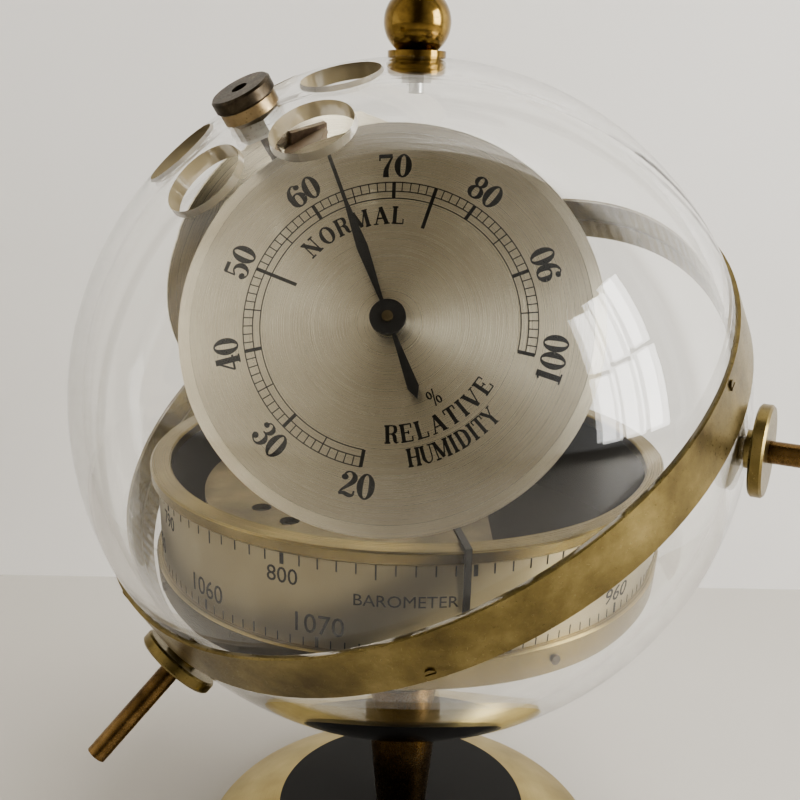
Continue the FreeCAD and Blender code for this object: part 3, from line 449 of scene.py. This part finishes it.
GLYPHS = {
    "0": [ring(0, 0.5, 0.2, 0.475)],
    "1": [bar(0.02, 0.02, 0.02, 1.0, THICK), bar(-0.17, 0.03, 0.21, 0.03, 0.06),
          bar(-0.17, 0.86, 0.02, 0.96, 0.07)],
    "2": [[(-0.2, 0.72, 0.06), (-0.13, 0.92, 0.06), (0.03, 0.97, 0.06), (0.17, 0.84, 0.15),
           (0.16, 0.64, 0.17), (0.0, 0.42, 0.12), (-0.17, 0.22, 0.07), (-0.23, 0.06, 0.06)],
          [(-0.24, 0.06, 0.08), (-0.08, 0.12, 0.13), (0.1, 0.07, 0.14), (0.23, 0.1, 0.08),
           (0.25, 0.27, 0.05)],
          dot(-0.15, 0.74, 0.11)],
    "3": [[(-0.19, 0.79, 0.05), (-0.1, 0.94, 0.05), (0.03, 0.97, 0.05), (0.15, 0.86, 0.14),
           (0.15, 0.68, 0.14), (0.03, 0.55, 0.06), (-0.06, 0.54, 0.05)],
          [(0.0, 0.54, 0.05), (0.12, 0.5, 0.09), (0.2, 0.3, 0.17), (0.12, 0.08, 0.1),
           (-0.04, 0.02, 0.05), (-0.2, 0.12, 0.06), (-0.22, 0.24, 0.05)],
          dot(-0.15, 0.8, 0.1), dot(-0.16, 0.22, 0.11)],
    "4": [bar(0.1, 0.02, 0.1, 1.0, THICK), bar(0.08, 0.97, -0.25, 0.31, 0.06),
          bar(-0.27, 0.29, 0.27, 0.29, 0.07), bar(-0.05, 0.03, 0.25, 0.03, 0.06)],
    "5": [bar(-0.17, 0.93, 0.19, 0.93, 0.14), bar(-0.17, 0.97, -0.19, 0.5, 0.05),
          [(-0.18, 0.52, 0.05), (-0.02, 0.63, 0.06), (0.14, 0.55, 0.13), (0.2, 0.33, 0.17),
           (0.11, 0.09, 0.1), (-0.05, 0.02, 0.05), (-0.2, 0.12, 0.06), (-0.22, 0.24, 0.05)],
          dot(-0.16, 0.22, 0.11)],
    "6": SIX,
    "7": [bar(-0.22, 0.91, 0.24, 0.91, 0.15), bar(-0.22, 0.98, -0.22, 0.72, 0.05),
          [(0.23, 0.88, 0.06), (0.1, 0.6, 0.09), (0.0, 0.32, 0.15), (-0.02, 0.0, 0.19)]],
    "8": [ring(0, 0.75, 0.16, 0.21, 0.14), ring(0, 0.28, 0.2, 0.25, 0.16)],
    "9": spun(SIX),
    "%": [ring(-0.2, 0.72, 0.11, 0.2, 0.06, 0.04), ring(0.2, 0.28, 0.11, 0.2, 0.06, 0.04),
          bar(-0.13, 0.0, 0.13, 1.0, 0.045)],
    "O": [ring(0, 0.5, 0.28, 0.475, 0.15)],
    "M": [*stem(-0.32, width=0.05), *stem(0.32, width=0.14), bar(-0.3, 0.98, 0.0, 0.06, 0.14),
          bar(0.0, 0.06, 0.3, 0.98, 0.05)],
    "R": [*stem(-0.2, width=0.14), [(-0.2, 0.97, 0.05), (0.05, 0.97, 0.05), (0.19, 0.88, 0.12),
                                    (0.19, 0.64, 0.12), (0.04, 0.53, 0.05), (-0.2, 0.53, 0.05)],
          [(0.0, 0.53, 0.06), (0.14, 0.42, 0.13), (0.18, 0.15, 0.13), (0.24, 0.03, 0.06),
           (0.34, 0.07, 0.04)]],
    "T": [bar(0, 0, 0, 1.0, 0.14), bar(-0.28, 0.97, 0.28, 0.97, 0.055),
          bar(-0.28, 0.98, -0.28, 0.72, 0.05), bar(0.28, 0.98, 0.28, 0.72, 0.05),
          bar(-0.14, 0.03, 0.14, 0.03, 0.05)],
    "H": [*stem(-0.23, width=0.14), *stem(0.23, width=0.14), bar(-0.23, 0.5, 0.23, 0.5, 0.05)],
    "U": [[(-0.22, 0.98, 0.14), (-0.22, 0.6, 0.14), (-0.21, 0.25, 0.13), (-0.05, 0.03, 0.06),
           (0.13, 0.08, 0.05), (0.22, 0.3, 0.05), (0.22, 0.98, 0.05)],
          bar(-0.36, 0.97, -0.08, 0.97, 0.05), bar(0.1, 0.97, 0.34, 0.97, 0.05)],
    "I": stem(0, width=0.14),
    "D": [*stem(-0.2, width=0.14), [(-0.2, 0.97, 0.05), (0.02, 0.96, 0.06), (0.22, 0.78, 0.13),
                                    (0.25, 0.5, 0.15), (0.22, 0.22, 0.13), (0.02, 0.04, 0.06),
                                    (-0.2, 0.03, 0.05)]],
    "N": [*stem(-0.25, width=0.05), *stem(0.25, width=0.05), bar(-0.27, 0.97, 0.25, 0.03, 0.15)],
    "A": [bar(-0.28, 0.02, 0.0, 1.0, 0.05), bar(0.0, 1.0, 0.27, 0.02, 0.15),
          bar(-0.18, 0.35, 0.17, 0.35, 0.05), bar(-0.4, 0.03, -0.16, 0.03, 0.05),
          bar(0.12, 0.03, 0.42, 0.03, 0.05)],
    "L": [*stem(-0.16, width=0.14), bar(-0.16, 0.03, 0.27, 0.03, 0.055),
          bar(0.27, 0.02, 0.27, 0.3, 0.05)],
    "E": [*stem(-0.18, width=0.14), bar(-0.18, 0.97, 0.25, 0.97, 0.055),
          bar(0.25, 0.98, 0.25, 0.74, 0.05), bar(-0.18, 0.52, 0.1, 0.52, 0.05),
          bar(0.1, 0.62, 0.1, 0.42, 0.05), bar(-0.18, 0.03, 0.27, 0.03, 0.055),
          bar(0.27, 0.02, 0.27, 0.28, 0.05)],
    "V": [bar(-0.27, 0.98, 0.0, 0.0, 0.15), bar(0.28, 0.98, 0.0, 0.0, 0.05),
          bar(-0.42, 0.97, -0.12, 0.97, 0.05), bar(0.16, 0.97, 0.4, 0.97, 0.05)],
    "Y": [bar(0, 0, 0, 0.5, 0.14), bar(-0.26, 0.98, 0.0, 0.46, 0.13),
          bar(0.26, 0.98, 0, 0.46, 0.05), bar(-0.14, 0.03, 0.14, 0.03, 0.05),
          bar(-0.36, 0.97, -0.14, 0.97, 0.05), bar(0.14, 0.97, 0.36, 0.97, 0.05)],
}
ADVANCE = {"I": 0.42, "M": 0.98, "O": 0.82, "H": 0.82, "D": 0.8, "N": 0.84, "A": 0.8, "V": 0.8,
           "Y": 0.78, "1": 0.56}
USUAL_ADVANCE = 0.66


def smooth(points, parts=5):
    """Catmull-Rom points through a stroke's own points."""
    if len(points) < 3:
        return points
    padded = [points[0], *points, points[-1]]
    path = []
    for before, start, end, after in zip(padded, padded[1:], padded[2:], padded[3:]):
        for part in range(parts):
            share = part / parts
            path.append(tuple(
                0.5 * (2 * b + (c - a) * share + (2 * a - 5 * b + 4 * c - d) * share ** 2
                       + (3 * b - a - 3 * c + d) * share ** 3)
                for a, b, c, d in zip(before, start, end, after)))
    return [*path, points[-1]]


def ribbon(points):
    """Quads along a stroke, each as four (x, y) corners."""
    path = smooth(points)
    sides = []
    for index, (x, y, width) in enumerate(path):
        ahead = path[min(index + 1, len(path) - 1)]
        behind = path[max(index - 1, 0)]
        along = Vector((ahead[0] - behind[0], ahead[1] - behind[1]))
        if points[0][:2] == points[-1][:2] and index in (0, len(path) - 1):
            along = Vector((path[1][0] - path[-2][0], path[1][1] - path[-2][1]))
        across = Vector((-along.y, along.x)).normalized() * width / 2
        sides.append(((x + across.x, y + across.y), (x - across.x, y - across.y)))
    return [[a[0], b[0], b[1], a[1]] for a, b in zip(sides, sides[1:])]


class Print:
    """Flat artwork that a map bends onto a surface and gives a little height."""

    def __init__(self, name, onto):
        self.name = name
        self.onto = onto
        self.mesh = bmesh.new()

    def strip(self, quads):
        """Connected quads, closed all round."""
        rows = [(quads[0][0], quads[0][3])] + [(quad[1], quad[2]) for quad in quads]
        loops = []
        for left, right in rows:
            corners = [self.onto(*left, -INK_SINK), self.onto(*left, INK_HEIGHT),
                       self.onto(*right, INK_HEIGHT), self.onto(*right, -INK_SINK)]
            loops.append([self.mesh.verts.new(corner) for corner in corners])
        for here, there in zip(loops, loops[1:]):
            for side in range(4):
                other = (side + 1) % 4
                self.mesh.faces.new((here[side], here[other], there[other], there[side]))
        self.mesh.faces.new(loops[0][::-1])
        self.mesh.faces.new(loops[-1])

    def line(self, x1, y1, x2, y2, width):
        self.strip(ribbon([(x1, y1, width), (x2, y2, width)]))

    def glyph(self, letter, place, weight):
        """One glyph, whose own x and y a placing function turns into artwork x and y."""
        for stroke in GLYPHS[letter]:
            bold = [(x, y, width * weight) for x, y, width in stroke]
            self.strip([[place(*corner) for corner in quad] for quad in ribbon(bold)])

    def finish(self):
        """Turn the artwork into a piece that rides on the globe."""
        bmesh.ops.recalc_face_normals(self.mesh, faces=self.mesh.faces)
        data = bpy.data.meshes.new(self.name)
        self.mesh.to_mesh(data)
        self.mesh.free()
        data.materials.append(INK)
        piece = bpy.data.objects.new(self.name, data)
        bpy.context.scene.collection.objects.link(piece)
        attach(piece, "globe")


def ink_material():
    """Flat black print, the same on every scale."""
    return painted("ink", (0.004, 0.004, 0.0035), 0.7, 3.0, 0.05, gloss=0.15)


def dial_map(prefix):
    """Map from artwork x, y and height in mm to a dial's face."""
    centre, right, up, facing = dial_place(prefix)
    return lambda x, y, height: centre + (right * x + up * y + facing * height) * MM


def clock(radius, angle):
    """Point at a radius and a clockwise angle from up."""
    turn = math.radians(angle)
    return radius * math.sin(turn), radius * math.cos(turn)


ARC_STEP = 3            # degrees that one straight piece of a circle line spans


def arc_lines(art, radius, first, last, width):
    """Circle line between two clockwise angles."""
    steps = max(2, round(abs(last - first) / ARC_STEP))
    quads = []
    for step in range(steps):
        start = first + (last - first) * step / steps
        end = first + (last - first) * (step + 1) / steps
        quads.append([clock(radius + width / 2, start), clock(radius + width / 2, end),
                      clock(radius - width / 2, end), clock(radius - width / 2, start)])
    art.strip(quads)


def radial_line(art, angle, inner, outer, width):
    art.line(*clock(inner, angle), *clock(outer, angle), width)


def arc_text(art, text, radius, middle, height, inward=False, spacing=1.0, wide=1.0, weight=1.0):
    """Text on a circle; inward text reads from the centre with its tops towards it."""
    advances = [ADVANCE.get(letter, USUAL_ADVANCE) * height * spacing * wide
                for letter in text]
    place = -sum(advances) / 2
    for letter, advance in zip(text, advances):
        travel = place + advance / 2
        place += advance
        turn = math.degrees(travel / radius)
        angle = middle - turn if inward else middle + turn
        spin = math.radians(angle + (180 if inward else 0))
        base_x, base_y = clock(radius, angle)

        def onto(x, y, spin=spin, base_x=base_x, base_y=base_y):
            local_x = x * height * wide
            local_y = (y - 0.5) * height
            return (base_x + local_x * math.cos(spin) + local_y * math.sin(spin),
                    base_y - local_x * math.sin(spin) + local_y * math.cos(spin))

        art.glyph(letter, onto, weight)


# ---- dial scales -------------------------------------------------------------------

# Radii are shares of the dial's radius; widths and heights are in mm.
LINE_RADII = (0.69, 0.645, 0.61)
LONG_MARK_RADIUS = 0.48
NUMBER_RADIUS = 0.775
NUMBER_HEIGHT = 4.3
LINE_WIDTH = 0.17
FIVE_WIDTH = 0.2
TEN_WIDTH = 0.62


def ring_scale(prefix, first, step, start, stop, turned_in, long_marks):
    """Track of small boxes with numbers outside it. Angles are clockwise from up, a step
    is ten units wide and turned_in lists the numbers whose tops face the centre."""
    radius = dial_reach(prefix)
    outer, middle, inner = (share * radius for share in LINE_RADII)
    last = first + step * (stop - start) / 10
    art = Print(prefix + "_scale", dial_map(prefix))
    for line in (outer, middle, inner):
        arc_lines(art, line, first, last, LINE_WIDTH)
    for value in range(start, stop + 1):
        angle = first + step * (value - start) / 10
        if value % 10 == 0:
            radial_line(art, angle, inner, outer, TEN_WIDTH)
        elif value % 5 == 0:
            radial_line(art, angle, inner, outer, FIVE_WIDTH)
        else:
            radial_line(art, angle, middle, outer, LINE_WIDTH)
    for value in long_marks:
        angle = first + step * (value - start) / 10
        radial_line(art, angle, LONG_MARK_RADIUS * radius, outer, TEN_WIDTH)
    art.finish()

    numbers = Print(prefix + "_numbers", dial_map(prefix))
    for value in range(start, stop + 1, 10):
        angle = first + step * (value - start) / 10
        arc_text(numbers, str(abs(value)), NUMBER_RADIUS * radius, angle, NUMBER_HEIGHT,
                 value in turned_in, spacing=0.92, wide=1.16, weight=1.1)
    numbers.finish()


def hygro_print():
    """Humidity scale, with its generic words."""
    ring_scale("hygro", -172.5, 34.2, 20, 100, (20, 30, 90, 100), (50, 75))
    radius = dial_reach("hygro")
    words = Print("hygro_words", dial_map("hygro"))
    arc_text(words, "NORMAL", 0.525 * radius, -24.0, 3.2, spacing=1.2, wide=1.08, weight=1.35)
    arc_text(words, "RELATIVE", 0.53 * radius, 149.0, 3.1, inward=True, spacing=1.14, wide=1.1,
             weight=1.35)
    arc_text(words, "HUMIDITY", 0.645 * radius, 149.0, 3.1, inward=True, weight=1.35)
    arc_text(words, "%", 0.415 * radius, 147.0, 3.0, inward=True, weight=1.7)
    words.finish()


def thermo_print():
    """Temperature scale in degrees Celsius."""
    ring_scale("thermo", -150.0, 42.857, -20, 50, (-20, 50), (18, 24))


# ---- drum scale --------------------------------------------------------------------

# Azimuths are in degrees from +X. The mercury row hangs from the top and the bar row
# stands at the foot. Tick sizes are (length, width) in mm; text sizes are heights in mm.
MERCURY_TOP = 810
MERCURY_TOP_AZIMUTH = -77.9
MERCURY_PER_UNIT = 3.6
MERCURY_UNITS = 100
MERCURY_DROP = 0.35
MERCURY_TICKS = {"unit": (2.1, 0.26), "five": (2.9, 0.3), "ten": (2.3, 0.75)}
MERCURY_TEXT = 2.9
MERCURY_TEXT_DROP = 6.1
BAR_MARK = 1070
BAR_MARK_AZIMUTH = -106.8
BAR_PER_UNIT = 2.7
BAR_DECADES = 12
BAR_TICKS = {"unit": (1.6, 0.22), "five": (2.0, 0.26), "ten": (2.0, 0.6)}
BAR_TEXT = 3.5
BAR_TEXT_RISE = 2.6
JOINT_AZIMUTH = -76.6   # where the two ends of the bar row meet
WORD_AZIMUTH = -90.5
WORD_TEXT = 2.1
WORD_DROP = 8.1


def tick_kind(value):
    if value % 10 == 0:
        return "ten"
    return "five" if value % 5 == 0 else "unit"


def drum_map():
    """Map from azimuth in degrees, height in mm and thickness to the drum's scale strip."""
    low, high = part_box("scale_strip")
    radius = (high.x - low.x) / 2 / MM

    def onto(azimuth, height, out):
        turn = math.radians(azimuth)
        reach = radius + out
        return Vector((reach * math.cos(turn) * MM, reach * math.sin(turn) * MM, height * MM))

    return onto, radius, low.z / MM, high.z / MM


def sans_shape(text):
    """Closed solid of a line of sans text: its corners, and each face as corner numbers."""
    curve = bpy.data.curves.new("letters", "FONT")
    curve.body = text
    curve.align_x = "CENTER"
    curve.size = 1.0
    curve.extrude = 0.5
    curve.resolution_u = 3
    holder = bpy.data.objects.new("letters", curve)
    bpy.context.scene.collection.objects.link(holder)
    bpy.context.view_layer.update()
    mesh = bpy.data.meshes.new_from_object(holder)
    top = max(vertex.co.y for vertex in mesh.vertices)
    corners = [(vertex.co.x / top, vertex.co.y / top, vertex.co.z > 0) for vertex in mesh.vertices]
    faces = [list(polygon.vertices) for polygon in mesh.polygons]
    bpy.data.objects.remove(holder)
    bpy.data.curves.remove(curve)
    bpy.data.meshes.remove(mesh)
    return corners, faces


def sans_text(art, text, azimuth, low, height, radius, wide=1.0):
    """Sans text on the drum, upright, with its foot at a height."""
    per_mm = math.degrees(1 / radius)
    corners, faces = sans_shape(text)
    points = [art.mesh.verts.new(art.onto(azimuth + x * height * wide * per_mm, low + y * height,
                                          INK_HEIGHT if front else -INK_SINK))
              for x, y, front in corners]
    for face in faces:
        art.mesh.faces.new([points[number] for number in face])
    bmesh.ops.remove_doubles(art.mesh, verts=points, dist=WELD * MM)


def drum_print():
    """Both rows of ticks with their numbers, and the word between them."""
    onto, radius, low, high = drum_map()
    per_mm = math.degrees(1 / radius)
    marks = Print("drum_marks", onto)

    def tick(azimuth, start, end, width):
        half = width * per_mm / 2
        marks.strip([[(azimuth - half, start), (azimuth - half, end), (azimuth + half, end),
                      (azimuth + half, start)]])

    for unit in range(MERCURY_UNITS):
        azimuth = MERCURY_TOP_AZIMUTH - unit * MERCURY_PER_UNIT
        length, width = MERCURY_TICKS[tick_kind(unit)]
        tick(azimuth, high - MERCURY_DROP, high - MERCURY_DROP - length, width)
    span = math.floor(360 / BAR_PER_UNIT)
    above = math.floor((JOINT_AZIMUTH - BAR_MARK_AZIMUTH) / BAR_PER_UNIT)
    for unit in range(span):
        value = BAR_MARK + above - unit
        azimuth = BAR_MARK_AZIMUTH + (value - BAR_MARK) * BAR_PER_UNIT
        length, width = BAR_TICKS[tick_kind(value)]
        tick(azimuth, low, low + length, width)
    marks.finish()

    numbers = Print("drum_numbers", onto)
    for fallen in range(10, MERCURY_UNITS, 10):
        azimuth = MERCURY_TOP_AZIMUTH - fallen * MERCURY_PER_UNIT
        sans_text(numbers, str(MERCURY_TOP - fallen), azimuth, high - MERCURY_TEXT_DROP,
                  MERCURY_TEXT, radius)
    for decade in range(BAR_DECADES):
        azimuth = BAR_MARK_AZIMUTH - decade * 10 * BAR_PER_UNIT
        sans_text(numbers, str(BAR_MARK - 10 * decade), azimuth, low + BAR_TEXT_RISE, BAR_TEXT,
                  radius)
    sans_text(numbers, "BAROMETER", WORD_AZIMUTH, high - WORD_DROP, WORD_TEXT, radius, wide=1.05)
    numbers.finish()


# ---- surroundings ------------------------------------------------------------------

FLOOR_SPAN = 3.0
WALL_BACK = 0.143       # y of the wall
WINDOW_X = 0.85
WINDOW_Y = -0.32
PANE_SHIFTS = (-0.15, 0.0, 0.15)
PANE_HEIGHTS = (0.22, 0.54)
PANE_SIZE = (0.12, 0.29)
CAMERA_PLACE = Vector((-0.00203, -0.21063, 0.1736))
CAMERA_PITCH = 16.01    # degrees below level
CAMERA_ROLL = 1.08      # degrees
CAMERA_LENS = 45.83     # mm, on a sensor 36 mm wide
SENSOR_WIDTH = 36.0


def plain(name, colour, rough):
    """Matt surface of nearly one colour."""
    material, tree, shader = new_material(name)
    place = millimetres(tree)
    soft = noise(tree, place, 0.01, 3, 0.5)
    lighter = tuple(channel * 1.04 for channel in colour)
    tree.links.new(ramp(tree, soft, [(0.3, colour), (0.7, lighter)]), shader.inputs["Base Color"])
    shader.inputs["Roughness"].default_value = rough
    return material


def stage_plane(name, corners, material):
    """Flat floor or wall that is not part of the object."""
    data = bpy.data.meshes.new(name)
    data.from_pydata(corners, [], [(0, 1, 2, 3)])
    data.materials.append(material)
    plane = bpy.data.objects.new(name, data)
    bpy.context.scene.collection.objects.link(plane)


def see_through_back(material):
    """Leave out a backdrop's rear face, so that it hides nothing from views behind it."""
    tree = material.node_tree
    output = next(node for node in tree.nodes if node.type == "OUTPUT_MATERIAL")
    front = output.inputs["Surface"].links[0].from_socket
    side = tree.nodes.new("ShaderNodeNewGeometry")
    clear = tree.nodes.new("ShaderNodeBsdfTransparent")
    whole = link_mix(tree, side.outputs["Backfacing"], front, clear.outputs[0])
    tree.links.new(whole, output.inputs["Surface"])
    return material


def make_room():
    """Floor under the object, wall behind it, and the room around."""
    floor_height = cad_low.z
    half = FLOOR_SPAN / 2
    stage_plane("floor", [(-half, -half, floor_height), (half, -half, floor_height),
                          (half, half, floor_height), (-half, half, floor_height)],
                plain("table_white", (0.45, 0.43, 0.395), 0.5))
    stage_plane("wall", [(-half, WALL_BACK, floor_height), (half, WALL_BACK, floor_height),
                         (half, WALL_BACK, floor_height + half),
                         (-half, WALL_BACK, floor_height + half)],
                see_through_back(plain("wall_white", (0.78, 0.77, 0.75), 0.85)))
    make_world()


def make_world():
    """Plain backdrop, and the room that the object reflects: pale to both sides, dim between."""
    world = bpy.data.worlds.new("room")
    bpy.context.scene.world = world
    world.use_nodes = True
    tree = world.node_tree
    place = tree.nodes.new("ShaderNodeTexCoord")
    parts = tree.nodes.new("ShaderNodeSeparateXYZ")
    tree.links.new(place.outputs["Generated"], parts.inputs[0])
    side = tree.nodes.new("ShaderNodeMath")
    side.operation = "MULTIPLY_ADD"
    side.inputs[1].default_value = 0.5
    side.inputs[2].default_value = 0.5
    tree.links.new(parts.outputs["X"], side.inputs[0])
    colour = ramp(tree, side.outputs[0], [
        (0.04, (1.0, 0.94, 0.84)), (0.22, (0.72, 0.66, 0.56)), (0.42, (0.10, 0.084, 0.06)),
        (0.58, (0.10, 0.084, 0.06)), (0.78, (0.58, 0.55, 0.50)), (0.95, (0.95, 0.94, 0.92))])
    room = tree.nodes["Background"]
    tree.links.new(colour, room.inputs["Color"])
    room.inputs["Strength"].default_value = 1.0
    backdrop = tree.nodes.new("ShaderNodeBackground")
    backdrop.inputs["Color"].default_value = (0.50, 0.49, 0.475, 1)
    path = tree.nodes.new("ShaderNodeLightPath")
    whole = link_mix(tree, path.outputs["Is Camera Ray"], room.outputs[0], backdrop.outputs[0])
    tree.links.new(whole, tree.nodes["World Output"].inputs["Surface"])


def area_light(name, place, width, height, power, colour, seen=True):
    """Lamp aimed at the globe; an unseen one lights it but shows in no reflection."""
    data = bpy.data.lights.new(name, "AREA")
    data.shape = "RECTANGLE"
    data.size = width
    data.size_y = height
    data.energy = power
    data.color = colour
    lamp = bpy.data.objects.new(name, data)
    bpy.context.scene.collection.objects.link(lamp)
    lamp.location = place
    lamp.rotation_euler = (GLOBE_CENTRE - Vector(place)).to_track_quat("-Z", "Y").to_euler()
    lamp.visible_glossy = seen
    lamp.visible_transmission = seen


def make_lights():
    """Six window panes at the right, a weak fill at the left and a soft lamp overhead."""
    for column, shift in enumerate(PANE_SHIFTS, start=1):
        for row, height in enumerate(PANE_HEIGHTS, start=1):
            place = (WINDOW_X, WINDOW_Y + shift, height)
            area_light(f"window_pane_{column}_{row}", place, *PANE_SIZE, 1.4, (1.0, 0.99, 0.97))
    area_light("fill_left", (-0.7, -0.5, 0.5), 0.6, 0.6, 1.2, (1.0, 0.96, 0.91), seen=False)
    area_light("overhead", (0.28, -0.05, 1.0), 0.8, 0.6, 12.0, (1.0, 0.98, 0.95), seen=False)


def make_camera():
    """Camera at the photograph's viewing angle."""
    data = bpy.data.cameras.new("camera")
    data.lens = CAMERA_LENS
    data.sensor_width = SENSOR_WIDTH
    data.clip_start = 0.005
    camera = bpy.data.objects.new("camera", data)
    bpy.context.scene.collection.objects.link(camera)
    tilt = Matrix.Rotation(math.radians(90 - CAMERA_PITCH), 4, "X")
    roll = Matrix.Rotation(math.radians(CAMERA_ROLL), 4, "Z")
    camera.matrix_world = Matrix.Translation(CAMERA_PLACE) @ tilt @ roll
    bpy.context.scene.camera = camera


# ---- build -------------------------------------------------------------------------

make_camera()
bpy.context.scene.view_settings.look = "AgX - Medium High Contrast"
dress_all()
INK = ink_material()
hygro_print()
thermo_print()
drum_print()
make_room()
make_lights()
